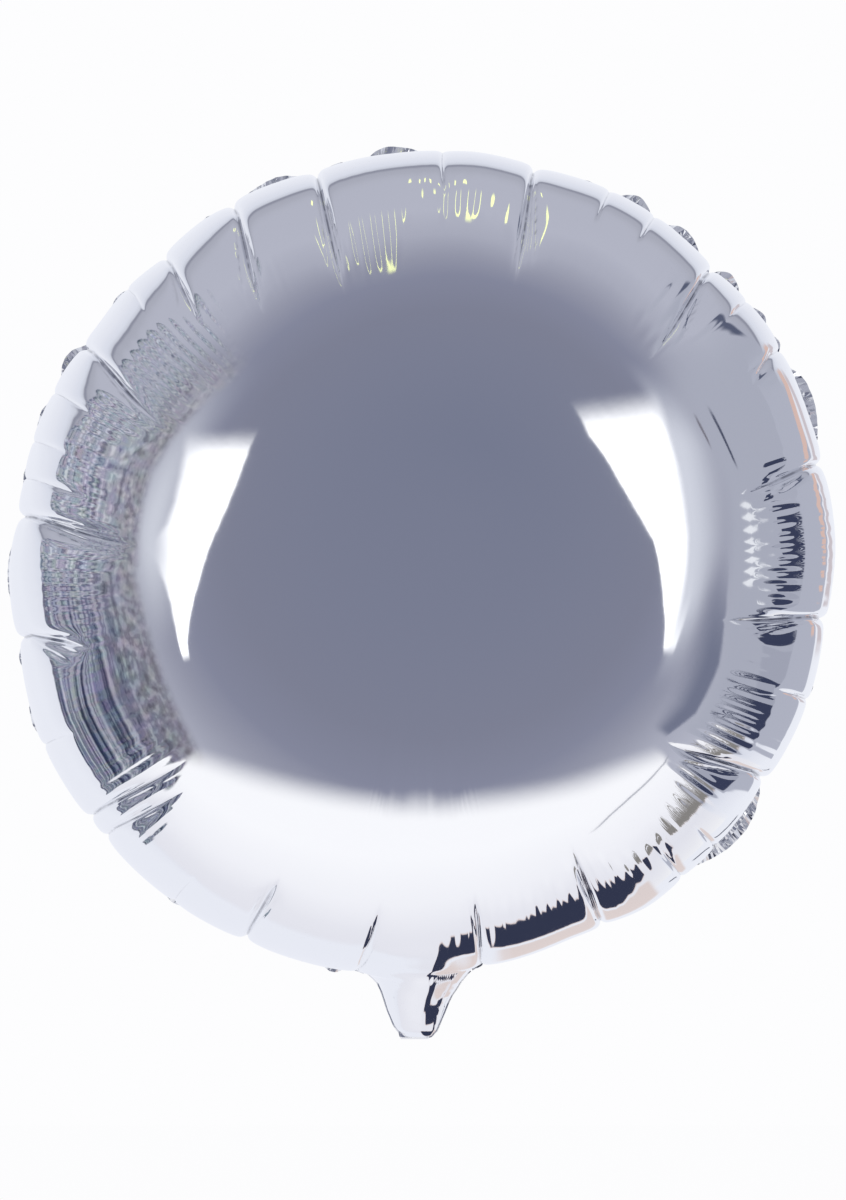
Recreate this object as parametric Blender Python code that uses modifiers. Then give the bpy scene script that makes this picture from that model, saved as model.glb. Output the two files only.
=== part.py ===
"""Round foil balloon, inflated, with its neck pointing straight down.

Two flat round panels of metallised film are welded together along their edge. Gas
makes them bulge, and the edge, now too long for its circle, gathers into creases with
full lobes between them. Each panel carries its own half of the neck. Lengths are in
metres, angles in degrees clockwise from the top as seen from the front. The balloon
faces -Y, +Z is up, and the origin is the balloon's centre.
"""

import math

import bpy
from mathutils import Vector

# Driving sizes
RIM_RADIUS = 0.1785  # where the lobes stand fullest
FILM_WALL = 0.002  # wall of the modelled panels
WELD_THICKNESS = 0.0012
WELD_WIDTH = 0.006  # flange that shows outside the panels
WELD_RUFFLE = 0.0012  # how far its edge waves forward and back
NECK_WELD_WIDTH = 0.002
NECK_TIP = 0.2047  # from the centre down to the neck's end
END_SEAL = (0.0135, 0.0012, 0.0040)  # flat band that closes the neck's end
END_SEAL_ROUNDING = 0.0012
GAP = 0.0003  # between neighbours that touch

# The circle is a little oval, widest along this direction
OVAL_SHARE = 0.015
OVAL_ANGLE = 50.0

# The weld lies in a shallow groove between the front and back lobes
GROOVE_DEPTH = 0.005
GROOVE_HALF_WIDTH = 0.007
GROOVE_CREASE_SHARE = 0.6  # of a crease's depth that is left at the weld

# Neck: how far it spreads round the rim and in from the rim's plane
NECK_ANGLE = 180.6
NECK_SPREAD = 5.0
NECK_SPREAD_POWER = 3
NECK_PUFF = 0.014
NECK_PUFF_POWER = 3

# Creases that the gathered edge makes: angle, depth at the rim, and the share of the
# rim's radius where the crease dies out
CREASES = (
    (2.7, 0.003, 0.85),
    (15.8, 0.010, 0.70),
    (26.7, 0.004, 0.88),
    (33.8, 0.005, 0.90),
    (43.5, 0.010, 0.69),
    (51.1, 0.004, 0.90),
    (59.2, 0.006, 0.88),
    (76.4, 0.011, 0.79),
    (97.7, 0.011, 0.68),
    (109.6, 0.006, 0.86),
    (121.9, 0.011, 0.77),
    (134.1, 0.006, 0.86),
    (154.6, 0.010, 0.76),
    (172.7, 0.007, 0.80),
    (189.0, 0.007, 0.81),
    (205.3, 0.012, 0.83),
    (216.4, 0.004, 0.90),
    (230.0, 0.009, 0.76),
    (244.3, 0.005, 0.90),
    (259.6, 0.010, 0.78),
    (276.5, 0.011, 0.85),
    (287.3, 0.004, 0.88),
    (294.7, 0.004, 0.86),
    (302.9, 0.009, 0.78),
    (319.7, 0.008, 0.77),
    (332.3, 0.010, 0.75),
    (344.6, 0.010, 0.68),
)
CREASE_HALF_WIDTH = 2.6
CREASE_RAMP_POWER = 1.2

# Mesh: the tilt of the film's surface at each ring, from the middle to the rim
RING_TILTS = (0, 12, 24, 35, 45, 54, 63, 71, 78, 84, 87.5, 90)
SECTOR_ANGLE = 3.8
NECK_SECTORS = 16
DEPTH_SLICES = 60

EDGE_HEIGHT = WELD_THICKNESS / 2 + GAP  # from the rim's plane to a panel's edge
NECK_FILM_TIP = NECK_TIP - END_SEAL[2] - GAP - NECK_WELD_WIDTH
NECK_START, NECK_END = 172.7, 189.0
WELD_TURN = 3.5  # angle over which the flange turns from radial to square to the edge
WELD_STEP = 0.3


def angle_gap(first, second):
    """Smallest angle between two directions, in degrees."""
    return abs((first - second + 180) % 360 - 180)


def oval_share(angle):
    """The rim's radius in this direction, as a share of the mean one."""
    return 1 + OVAL_SHARE * math.cos(math.radians(2 * (angle - OVAL_ANGLE)))


def sector_angles():
    """Angles of the mesh's sectors, with one on the bottom line of each crease."""
    angles = []
    following = CREASES[1:] + ((CREASES[0][0] + 360,),)
    for crease, after in zip(CREASES, following):
        start, width = crease[0], after[0] - crease[0]
        count = max(2, round(width / SECTOR_ANGLE))
        if start == NECK_START:
            count = NECK_SECTORS
        angles += [(start + width * k / count) % 360 for k in range(count)]
    return sorted(angles)


def panel_depth(tilt):
    """Depth of the smooth inflated panel where its surface leans by tilt degrees."""
    start = math.radians(tilt)
    slice_width = (math.pi / 2 - start) / DEPTH_SLICES
    total = 0
    for k in range(DEPTH_SLICES):
        total += math.sqrt(math.sin(start + (k + 0.5) * slice_width))
    return RIM_RADIUS / 2 * total * slice_width


def crease_depth(share, angle, reaches):
    """How far the creases press the film in, at a share of the rim's radius."""
    pressed = 0
    for (at, depth, _), reach in zip(CREASES, reaches):
        ramp = max(0, (share - reach) / (1 - reach)) ** CREASE_RAMP_POWER
        pressed += depth * ramp * math.exp(-angle_gap(at, angle) / CREASE_HALF_WIDTH)
    return pressed


def film_point(tilt, angle, reaches):
    """Radius and depth of the gathered film, before the thickness is added."""
    share = math.sqrt(math.sin(math.radians(tilt)))
    depth = panel_depth(tilt)
    groove = math.exp(-((depth / GROOVE_HALF_WIDTH) ** 2))
    offset = -crease_depth(share, angle, reaches)
    offset *= 1 - (1 - GROOVE_CREASE_SHARE) * groove
    offset -= GROOVE_DEPTH * groove
    radius = RIM_RADIUS * share * oval_share(angle)
    radius += offset * math.sin(math.radians(tilt))
    depth += offset * math.cos(math.radians(tilt))
    spread = math.exp(-((angle_gap(NECK_ANGLE, angle) / NECK_SPREAD) ** NECK_SPREAD_POWER))
    puff = math.exp(-((max(depth, 0) / NECK_PUFF) ** NECK_PUFF_POWER))
    neck_reach = NECK_FILM_TIP + GROOVE_DEPTH - RIM_RADIUS * oval_share(NECK_ANGLE)
    return radius + neck_reach * spread * puff, depth


def placed(radius, angle, y=0.0):
    """Point at a radius and an angle round the balloon, as seen from the front."""
    turn = math.radians(angle)
    return Vector((radius * math.sin(turn), y, radius * math.cos(turn)))


def film_material(name, colour, roughness):
    material = bpy.data.materials.new(name)
    material.use_nodes = True
    shader = material.node_tree.nodes["Principled BSDF"]
    shader.inputs["Base Color"].default_value = (*colour, 1)
    shader.inputs["Metallic"].default_value = 1
    shader.inputs["Roughness"].default_value = roughness
    return material


def add_object(name, mesh, collection, material):
    obj = bpy.data.objects.new(name, mesh)
    obj.data.materials.append(material)
    collection.objects.link(obj)
    return obj


def turned_mesh(name, profile, steps, collection):
    """Mesh of a profile turned a full circle round Z by a Screw modifier."""
    outline = bpy.data.meshes.new(name)
    edges = [(k, k + 1) for k in range(len(profile) - 1)]
    outline.from_pydata([(r, 0, z) for r, z in profile], edges, [])
    guide = bpy.data.objects.new(name + "_profile", outline)
    collection.objects.link(guide)
    screw = guide.modifiers.new("turn", "SCREW")
    screw.axis = "Z"
    screw.steps = steps
    screw.render_steps = steps
    screw.use_merge_vertices = True
    screw.merge_threshold = 0.00001
    graph = bpy.context.evaluated_depsgraph_get()
    mesh = bpy.data.meshes.new_from_object(guide.evaluated_get(graph))
    bpy.data.objects.remove(guide)
    return mesh


def add_thickness(obj, thickness, offset):
    solid = obj.modifiers.new("thickness", "SOLIDIFY")
    solid.thickness = thickness
    solid.offset = offset
    solid.use_even_offset = True


def make_edge_cutter(cutters):
    """Plate in the rim's plane that leaves room between the panels for the weld."""
    bpy.ops.mesh.primitive_cube_add(size=1)
    plate = bpy.context.object
    plate.name = "edge_cutter"
    plate.scale = (3 * RIM_RADIUS, 2 * EDGE_HEIGHT, 3 * RIM_RADIUS)
    plate.hide_render = True
    plate.display_type = "WIRE"
    for owner in list(plate.users_collection):
        owner.objects.unlink(plate)
    cutters.objects.link(plate)
    return plate


def make_panel(name, side, reaches, cutter, collection, material):
    """A film panel with its half of the neck; side is -1 at the front, 1 at the back."""
    angles = sector_angles()
    shares = [math.sqrt(math.sin(math.radians(tilt))) for tilt in RING_TILTS]
    profile = [(share, -k) for k, share in enumerate(shares)]
    mesh = turned_mesh(name, profile, len(angles), collection)
    # The turned sectors slide round so that one lies in each crease
    for vertex in mesh.vertices:
        x, y, z = vertex.co
        ring = round(-z)
        sector = round(math.atan2(y, x) / math.tau * len(angles)) % len(angles)
        angle = angles[sector]
        radius, depth = film_point(RING_TILTS[ring], angle, reaches)
        vertex.co = placed(radius if ring else 0, angle, side * depth)
    if side < 0:
        mesh.flip_normals()
    obj = add_object(name, mesh, collection, material)
    add_thickness(obj, FILM_WALL, -1)
    trim = obj.modifiers.new("trimmed_edge", "BOOLEAN")
    trim.operation = "DIFFERENCE"
    trim.object = cutter
    mesh.shade_smooth()
    return obj


def weld_outline(angle):
    """Point of the panels' edge in the rim's plane."""
    reaches = [reach for _, _, reach in CREASES]
    return placed(film_point(90, angle, reaches)[0], angle)


def weld_direction(angle):
    """Outward direction across the flange, turning square to the edge along the neck."""
    into_neck = min(angle - NECK_START, NECK_END - angle) / WELD_TURN
    square = min(1, max(0, into_neck))
    along = weld_outline(angle + WELD_STEP) - weld_outline(angle - WELD_STEP)
    outward = Vector((-along.z, 0, along.x)).normalized()
    return placed(1 - square, angle) + outward * square


def edge_weights(mesh):
    """The mesh's bevel weights, one for each edge."""
    name = "bevel_weight_edge"
    return mesh.attributes.get(name) or mesh.attributes.new(name, "FLOAT", "EDGE")


def make_weld(name, angles, width, ruffle, collection, material):
    """A stretch of the flange, as an open strip with a thickness."""
    offsets = (-FILM_WALL, width / 3, width)
    points = []
    for k, angle in enumerate(angles):
        edge, outward = weld_outline(angle), weld_direction(angle)
        for across, offset in enumerate(offsets):
            point = edge + outward * offset
            point.y = ruffle * (-1) ** k if across == len(offsets) - 1 else 0
            points.append(point)
    rows = len(offsets)
    faces = []
    for k in range(len(angles) - 1):
        for across in range(rows - 1):
            first = k * rows + across
            faces.append((first, first + rows, first + rows + 1, first + 1))
    mesh = bpy.data.meshes.new(name)
    mesh.from_pydata(points, [], faces)
    obj = add_object(name, mesh, collection, material)
    add_thickness(obj, WELD_THICKNESS, 0)
    return obj


def make_end_seal(collection, material):
    """Flat sealed band across the end of the neck, rounded at its corners."""
    bpy.ops.mesh.primitive_cube_add(size=1)
    seal = bpy.context.object
    seal.name = "neck_end_seal"
    seal.scale = END_SEAL
    bpy.ops.object.transform_apply(location=False, rotation=False, scale=True)
    seal.location = placed(NECK_TIP, NECK_ANGLE) + Vector((0, 0, END_SEAL[2] / 2))
    for edge in seal.data.edges:
        low, high = (seal.data.vertices[k].co for k in edge.vertices)
        if abs(low.y - high.y) > END_SEAL[1] / 2:
            edge_weights(seal.data).data[edge.index].value = 1
    rounding = seal.modifiers.new("rounding", "BEVEL")
    rounding.limit_method = "WEIGHT"
    rounding.width = END_SEAL_ROUNDING
    rounding.segments = 3
    for owner in list(seal.users_collection):
        owner.objects.unlink(seal)
    collection.objects.link(seal)
    seal.data.materials.append(material)


def main():
    for obj in list(bpy.data.objects):
        bpy.data.objects.remove(obj)
    collection = bpy.data.collections.new("round_foil_balloon")
    cutters = bpy.data.collections.new("cutters")
    bpy.context.scene.collection.children.link(collection)
    bpy.context.scene.collection.children.link(cutters)
    cutter = make_edge_cutter(cutters)

    film = film_material("metallised_film", (0.86, 0.87, 0.89), 0.06)
    weld = film_material("welded_film", (0.80, 0.81, 0.83), 0.25)

    reaches = [reach for _, _, reach in CREASES]
    make_panel("front_film_panel", -1, reaches, cutter, collection, film)
    # On the back each crease runs in as far as the next one does on the front
    back_reaches = reaches[1:] + reaches[:1]
    make_panel("back_film_panel", 1, back_reaches, cutter, collection, film)

    inside_neck = math.degrees(GAP / RIM_RADIUS) / 2
    angles = [a for a in sector_angles() if not NECK_START <= a <= NECK_END]
    after = [a - 360 for a in angles if a > NECK_END]
    before = [a for a in angles if a < NECK_START]
    ends = NECK_END - 360 + inside_neck, NECK_START - inside_neck
    round_rim = [ends[0], *after, *before, ends[1]]
    make_weld("rim_weld", round_rim, WELD_WIDTH, WELD_RUFFLE, collection, weld)

    inner = [a for a in sector_angles() if NECK_START < a < NECK_END]
    round_neck = [NECK_START + inside_neck, *inner, NECK_END - inside_neck]
    make_weld("neck_weld", round_neck, NECK_WELD_WIDTH, 0, collection, weld)
    make_end_seal(collection, weld)


main()
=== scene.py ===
"""Round foil balloon, dressed: mirror film gathered at its welded rim, its flange and its neck.

Lengths are in metres unless a name says mm, angles in degrees clockwise from the top as
seen from the front. The balloon faces -Y and +Z is up. A "share" is a distance from the
balloon's centre, as a share of the rim's radius.
"""

import math

import bpy
import numpy as np
from bpy.props import FloatProperty, FloatVectorProperty, PointerProperty
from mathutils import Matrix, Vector


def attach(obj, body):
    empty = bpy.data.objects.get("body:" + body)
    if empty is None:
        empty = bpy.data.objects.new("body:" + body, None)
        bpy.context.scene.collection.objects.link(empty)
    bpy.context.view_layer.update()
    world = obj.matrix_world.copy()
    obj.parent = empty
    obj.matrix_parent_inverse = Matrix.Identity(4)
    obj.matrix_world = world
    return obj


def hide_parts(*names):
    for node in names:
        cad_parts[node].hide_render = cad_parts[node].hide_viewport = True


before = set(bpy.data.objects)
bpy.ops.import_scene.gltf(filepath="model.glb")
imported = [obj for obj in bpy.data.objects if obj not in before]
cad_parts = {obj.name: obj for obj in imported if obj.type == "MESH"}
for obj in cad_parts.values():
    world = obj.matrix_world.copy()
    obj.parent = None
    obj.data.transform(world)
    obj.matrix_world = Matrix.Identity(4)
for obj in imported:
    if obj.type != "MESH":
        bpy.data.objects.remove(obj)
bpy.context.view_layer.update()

bl_info = {
    "name": "Round foil balloon",
    "version": (1, 0, 0),
    "blender": (4, 5, 0),
    "location": "View3D > Sidebar > Balloon",
    "description": "Builds an inflated round foil balloon with its welded rim and neck",
    "category": "Add Mesh",
}

# Measured form

# Creases: angle at the rim, angle at the inner end, share where it dies out, depth at
# the rim in mm, how wide it is in degrees, and how many finer creases run beside it
CREASES = (
    (2.7, 3.3, 0.86, 1.2, 0.8, 1), (15.8, 18.2, 0.68, 3.4, 1.0, 3), (26.7, 27.0, 0.86, 1.3, 0.9, 1),
    (33.8, 34.0, 0.88, 1.4, 0.9, 0), (44.6, 48.4, 0.70, 3.4, 1.1, 3), (51.1, 51.5, 0.90, 1.2, 0.9, 0),
    (59.2, 61.0, 0.88, 1.9, 0.9, 2), (76.0, 78.2, 0.76, 3.4, 1.1, 3), (98.0, 101.0, 0.72, 3.5, 1.1, 3),
    (109.6, 110.0, 0.88, 1.6, 0.8, 1), (122.4, 126.6, 0.72, 3.6, 1.2, 2),
    (134.1, 134.0, 0.90, 1.3, 0.8, 0), (140.5, 140.3, 0.88, 1.5, 0.8, 2),
    (153.6, 152.4, 0.75, 3.0, 1.0, 1), (171.8, 171.2, 0.79, 2.4, 1.0, 1),
    (189.0, 186.9, 0.80, 1.6, 0.7, 1), (205.3, 204.4, 0.80, 2.8, 1.0, 3),
    (216.4, 216.0, 0.90, 1.2, 0.8, 0), (229.2, 226.3, 0.76, 2.2, 1.1, 3),
    (232.6, 230.0, 0.72, 2.8, 1.1, 2), (244.3, 244.0, 0.90, 1.5, 0.8, 0),
    (259.4, 255.6, 0.80, 3.2, 1.0, 4), (276.6, 273.2, 0.68, 3.6, 1.1, 4),
    (282.0, 280.8, 0.80, 1.2, 0.7, 1), (287.3, 287.0, 0.88, 1.2, 0.8, 0),
    (294.7, 294.0, 0.86, 1.3, 0.8, 1), (302.4, 297.4, 0.68, 3.0, 1.2, 3),
    (312.8, 312.0, 0.90, 1.0, 0.8, 0), (319.7, 316.6, 0.77, 2.7, 1.0, 2),
    (331.9, 327.2, 0.70, 3.0, 1.1, 3), (344.6, 343.6, 0.66, 3.4, 1.0, 3),
)
LOBE_EDGE_DEPTH = 2.1  # creases at least this deep bound a lobe

# How far the lobes' crests reach, as seen from the front: angle and share
CRESTS = (
    (0, 0.998), (8, 1.004), (13, 1.000), (20, 1.002), (27, 1.012), (35, 1.014), (42, 1.006),
    (48, 1.008), (55, 1.014), (62, 1.008), (70, 1.000), (78, 1.000), (88, 1.000), (95, 0.990),
    (102, 0.987), (110, 0.992), (118, 0.988), (126, 0.985), (133, 0.988), (140, 0.988), (147, 0.996),
    (151, 0.988), (158, 0.977), (166, 0.986), (171, 0.990), (178, 0.990), (186, 1.000), (193, 1.008),
    (200, 1.010), (206, 1.012), (214, 1.020), (225, 1.020), (238, 1.021), (246, 1.022), (252, 1.010),
    (258, 1.000), (264, 1.003), (269, 1.004), (274, 0.995), (281, 0.988), (288, 0.992), (295, 0.988),
    (300, 0.986), (306, 0.975), (312, 0.980), (318, 0.972), (324, 0.982), (328, 0.988), (334, 0.990),
    (340, 0.988), (346, 0.985), (352, 0.992),
)
CREST_SHARE = 0.997  # share of the smooth rim's radius at which a lobe's crest stands

# Where the flange peeks out from behind the lobes: start, middle and end angle, and the
# share that it reaches
FLANGE_PEEKS = (
    (21.0, 23.5, 27.0, 1.014), (27.5, 30.5, 34.0, 1.037), (35.0, 38.0, 43.0, 1.034),
    (44.5, 47.0, 50.5, 1.030), (51.0, 54.0, 56.0, 1.027), (56.0, 58.0, 60.0, 1.022),
    (60.5, 65.5, 75.0, 1.034), (106.0, 108.0, 109.5, 0.997), (114.0, 116.5, 118.0, 0.995),
    (122.0, 130.5, 140.0, 1.022), (190.5, 192.3, 195.0, 1.020), (214.0, 216.5, 219.0, 1.027),
    (243.5, 247.5, 252.0, 1.028), (253.0, 256.5, 259.5, 1.010), (261.0, 268.0, 275.5, 1.012),
    (277.0, 283.0, 287.0, 0.995), (287.5, 291.0, 295.0, 1.000), (296.0, 299.7, 304.0, 1.005),
    (308.5, 311.0, 314.0, 0.988), (320.5, 323.0, 325.0, 0.985), (325.5, 328.0, 330.5, 0.993),
    (332.0, 338.5, 344.0, 1.005), (345.0, 348.0, 351.0, 0.996), (351.5, 355.0, 362.0, 1.018),
)
FLANGE_TUCK = 0.002  # by which the flange stays behind the lobes elsewhere
CREASE_BEND_SHARE = 0.96  # outside this share a crease runs straight to the rim

# Small folds between the creases: angle, strength, and the shares between which they stand
FOLD_BANDS = (
    (0, 0.45, 0.80, 0.94), (14, 0.5, 0.79, 0.93), (16, 0.1, 0.74, 0.93), (21, 0.08, 0.74, 0.90),
    (39, 0.06, 0.74, 0.90), (42, 0.5, 0.70, 0.90), (49, 0.7, 0.72, 0.93), (52, 0.05, 0.80, 0.93),
    (57, 0.05, 0.88, 0.95), (60, 0.4, 0.90, 0.97), (64, 0.05, 0.88, 0.96), (71, 0.12, 0.84, 0.94),
    (76, 0.8, 0.77, 0.90), (80, 1.2, 0.79, 0.90), (97, 1.2, 0.785, 0.90), (101, 0.6, 0.75, 0.90),
    (105, 0.2, 0.76, 0.88), (110, 0.45, 0.76, 0.93), (120, 0.5, 0.76, 0.92), (124, 0.3, 0.74, 0.92),
    (133, 0.25, 0.76, 0.93), (140, 0.3, 0.82, 0.92), (145, 0.6, 0.82, 0.93), (150, 0.7, 0.78, 0.93),
    (153, 0.6, 0.78, 0.94), (160, 0.55, 0.80, 0.945), (171, 0.6, 0.80, 0.945), (174, 0.3, 0.82, 0.95),
    (178, 0.0, 0.86, 0.95), (184, 0.0, 0.86, 0.95), (188, 0.1, 0.82, 0.95), (192, 0.05, 0.84, 0.95),
    (201, 0.05, 0.84, 0.95), (205, 0.6, 0.82, 0.93), (208, 0.05, 0.84, 0.93), (222, 0.05, 0.82, 0.93),
    (227, 0.6, 0.78, 0.96), (233, 0.6, 0.72, 0.96), (237, 0.25, 0.72, 0.94), (240, 0.05, 0.72, 0.94),
    (251, 0.05, 0.74, 0.94), (256, 0.2, 0.74, 0.94), (270, 0.12, 0.72, 0.95), (275, 0.3, 0.68, 0.93),
    (279, 0.06, 0.72, 0.92), (290, 0.05, 0.74, 0.92), (295, 0.25, 0.70, 0.92), (299, 0.35, 0.66, 0.91),
    (316, 0.35, 0.63, 0.88), (320, 0.3, 0.68, 0.90), (323, 0.06, 0.72, 0.90), (327, 0.25, 0.70, 0.92),
    (333, 0.2, 0.70, 0.92), (336, 0.05, 0.72, 0.92), (342, 0.05, 0.69, 0.92), (344.5, 0.45, 0.66, 0.91),
    (352, 0.45, 0.66, 0.91), (355, 0.2, 0.68, 0.91), (357, 0.3, 0.76, 0.93),
)
# Gathers that run on to the weld itself: angle and strength
RIM_GATHERS = (
    (77, 0.0), (80, 0.35), (97, 0.35), (100, 0.0), (108, 0.0), (111, 0.2), (121, 0.2), (124, 0.0),
)
GATHERS_RISE, GATHERS_FALL = (0.9, 0.96), (0.96, 0.99)  # shares over which they do so
FOLD_LEAN = 0.3  # how much of a crease's lean the folds next to it take
FOLD_PITCH = 2.1  # degrees from one small fold to the next, about 6 mm at the rim

# Outline of the neck's film in the rim's plane, right side and left: radius and angle
NECK_RIGHT = (
    (0.1200, 168.0), (0.1500, 168.6), (0.1650, 169.6), (0.1738, 171.6), (0.1750, 172.8),
    (0.1773, 173.8), (0.1800, 174.7), (0.1829, 175.4), (0.1861, 176.2), (0.1895, 176.8),
    (0.1932, 177.3), (0.1975, 177.9), (0.2013, 178.4), (0.2034, 179.0), (0.2041, 179.7),
)
NECK_LEFT = (
    (0.1200, 193.0), (0.1500, 192.4), (0.1650, 191.6), (0.1740, 190.4), (0.1768, 189.6),
    (0.1771, 188.8), (0.1778, 187.7), (0.1797, 186.8), (0.1816, 186.1), (0.1849, 185.5),
    (0.1886, 185.0), (0.1928, 184.5), (0.1961, 184.0), (0.1994, 183.5), (0.2019, 182.9),
    (0.2040, 182.2),
)
# How far in front of the rim's plane the neck's middle stands: radius and depth
NECK_DEPTHS = (
    (0.120, 0.0), (0.135, 0.0160), (0.150, 0.0300), (0.165, 0.0380), (0.172, 0.0350), (0.178, 0.0292),
    (0.184, 0.0233), (0.190, 0.0175), (0.196, 0.0117), (0.201, 0.0066), (0.2041, 0.0030),
)
# The neck's right side is flatter than a tube: share of its width and share of its depth
NECK_FLANK = (
    (0.0, 1.0), (0.2, 0.985), (0.35, 0.90), (0.5, 0.785), (0.65, 0.67), (0.78, 0.575), (0.88, 0.46),
    (0.95, 0.31), (0.985, 0.17), (1.0, 0.0),
)
NECK_START, NECK_END = 173.4, 188.2

NECK_SIDES = 168, 193  # angles between which the film is led out over the neck
NECK_CLOSING = 0.2005  # radius from which the neck closes towards its end
NECK_PLEAT_PITCH = 0.0046
NECK_PLEATED = 0.178, 0.190  # radii between which the pleats on its right side set in

PHOTO_RADIUS = 0.177  # radius that the measured shares are of
RIM_SHARE = 1.0085  # radius of the smooth rim, as such a share
CREST_BLUR = 8.0  # quarter degrees over which the crests' reach is evened out
CREASE_LINE = 0.24  # a crease's sharp line falls off over this share of its width
CREASE_VALLEYS = 1.7, 0.8  # its valley falls off over these, on the lobe under and the one over
PAINTED_SHADE_LINE = 0.085  # and the painted shade of its sharp line over this

# The weld's crumples, three sets of pleats that meet in facets: share of the height, degrees
# from one pleat to the next, how far they wander, and how far they slant outwards
CRUMPLES = ((0.5, 3.3, 1.0, 1.1), (0.34, 1.9, -1.6, -1.7), (0.2, 5.3, 0.0, 2.3))
CRUMPLE_TURNS = 11  # times that they wander to and fro, all round
FLANGE_INSIDE = -0.0035, -0.001, 0.0  # how far its inner rows reach in between the panels
FLANGE_OUTSIDE = 0.3, 0.65, 1.0  # and where its outer rows stand, as shares of its width

# Hem across the neck's end: half its width, its lower and upper edge, and its ripple
HEM_HALF_WIDTH = 0.0069
HEM_LOW, HEM_HIGH = -0.2047, -0.2008
HEM_RIPPLE = 0.00004
HEM_ROWS, HEM_COLUMNS = 9, 41

SECTORS = 1560  # columns of points round each panel
FINE_STEPS = 1440  # steps round the circle when something is worked out by angle
MIDDLE_RINGS = 7  # rings in the smooth middle, which have a quarter of the columns
RIM_RINGS = 56
FRONT_CREASE_SEED, BACK_CREASE_SEED = 3, 4
RIM_SEED, PANEL_SEED = 1, 11


def interpolated(angles, table, column):
    """A column of a table keyed by angle, at these angles, joined up round the circle."""
    at = np.array([row[0] for row in table])
    values = np.array([row[column] for row in table])
    at = np.concatenate((at - 360, at, at + 360))
    return np.interp(angles, at, np.tile(values, 3))


def smoothed(values, width):
    """Values round the circle, blurred over this many neighbours."""
    reach = int(3 * width) + 1
    weights = np.exp(-((np.arange(-reach, reach + 1) / width) ** 2))
    ends = np.concatenate((values[-reach:], values, values[:reach]))
    return np.convolve(ends, weights / weights.sum(), "valid")


def rounded_step(values, low, high):
    """0 below low, 1 above high and a smooth climb between."""
    t = np.clip((values - low) / (high - low), 0, 1)
    return t * t * (3 - 2 * t)


def gap_between(first, second):
    """Signed angle from second to first, from -180 to 180."""
    return (first - second + 180) % 360 - 180


def smooth_depth(tilts, rim_radius):
    """Depth of the smooth inflated film where its surface leans by these tilts."""
    fine = np.radians(np.linspace(0, 90, 4001))
    slopes = np.sqrt(np.sin(fine))
    steps = (slopes[1:] + slopes[:-1]) / 2 * (fine[1] - fine[0])
    below = np.concatenate((np.cumsum(steps[::-1])[::-1], [0]))
    return rim_radius / 2 * np.interp(np.radians(tilts), fine, below)


def oval(shares, angles, settings):
    """How far the film reaches in these directions, as a share of the mean: a plain oval
    in the middle, and the lobes' own reach towards the rim."""
    plain = 1 + settings.oval_share * np.cos(np.radians(2 * (angles - settings.oval_angle)))
    fine = np.arange(FINE_STEPS) * 360 / FINE_STEPS
    crests = smoothed(interpolated(fine, CRESTS, 1), CREST_BLUR) / CREST_SHARE / RIM_SHARE
    reached = np.interp(angles % 360, fine, crests)
    towards_rim = rounded_step(shares, 0.62, 0.97)
    return plain + (reached - plain) * towards_rim


def crease_angle(crease, shares):
    """Where a crease runs at these shares of the radius; it leans a little."""
    rim, inner, reach = crease[:3]
    along = np.clip((CREASE_BEND_SHARE - shares) / (CREASE_BEND_SHARE - reach), 0, 1)
    return rim + gap_between(inner, rim) * along


def with_fine_creases(creases, seed):
    """The creases, each followed by the finer ones that fan out from it towards the middle.
    The last number says how much of a crease fades before the rim."""
    rng = np.random.default_rng(seed)
    rows = []
    for rim, inner, reach, depth, width, beside in creases:
        rows.append((rim, inner, reach, depth, width, 0.0))
        for k in range(beside):
            # Fine creases stand left and right of the main one by turns
            away = (0.9 + 0.8 * (k // 2) + rng.uniform(-0.15, 0.15)) * (-1) ** k
            fade = min(reach + rng.uniform(0.0, 0.07), 0.86)
            lean = away * rng.uniform(1.0, 1.5)
            fine = depth * rng.uniform(0.3, 0.55)
            rows.append((rim + 0.3 * away, inner + lean, fade, fine, width * 0.8, 0.85))
    return rows


def crease_press(shares, angles, creases, settings):
    """How far the creases press the film in: at each, one lobe's edge rolls over the next
    lobe, which rises more slowly. A crease leans towards the lobe that lies under."""
    pressed = np.zeros(np.broadcast(shares, angles).shape)
    for crease in creases:
        rim, inner, reach, depth, width, fading = crease
        gap = gap_between(angles, crease_angle(crease, shares))
        near = np.sqrt(gap**2 + 0.004) - 0.063  # the gap, with its tip rounded
        under = gap * (1 if inner >= rim else -1) > 0
        ramp = rounded_step(shares, reach, max(0.88, reach + 0.06))
        left = 1 - fading * rounded_step(shares, 0.86, 0.96)
        line = 0.5 * ramp**0.6 * np.exp(-near / (CREASE_LINE * width))
        valley = 0.5 * ramp * np.exp(-near / (np.where(under, *CREASE_VALLEYS) * width))
        pressed += depth / 1000 * left * (line + valley)
    return pressed * settings.crease_strength


def painted_crease_shade(shares, angles, creases):
    """How deep the painted shade in a crease's sharp line is, from 0 to 1: there the film's colour is
    darkened to stand for the fold's shade.
    """
    crease_shade_levels = np.zeros(np.broadcast(shares, angles).shape)
    for crease in creases:
        reach, depth, width, fading = crease[2:]
        gap = gap_between(angles, crease_angle(crease, shares))
        ramp = rounded_step(shares, reach, reach + 0.12)
        ramp = ramp * (1 - fading * rounded_step(shares, 0.86, 0.94))
        crease_shade_levels += depth / 3.4 * ramp * np.exp(-((gap / (PAINTED_SHADE_LINE * width)) ** 2))
    return np.clip(crease_shade_levels, 0, 1)


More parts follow.
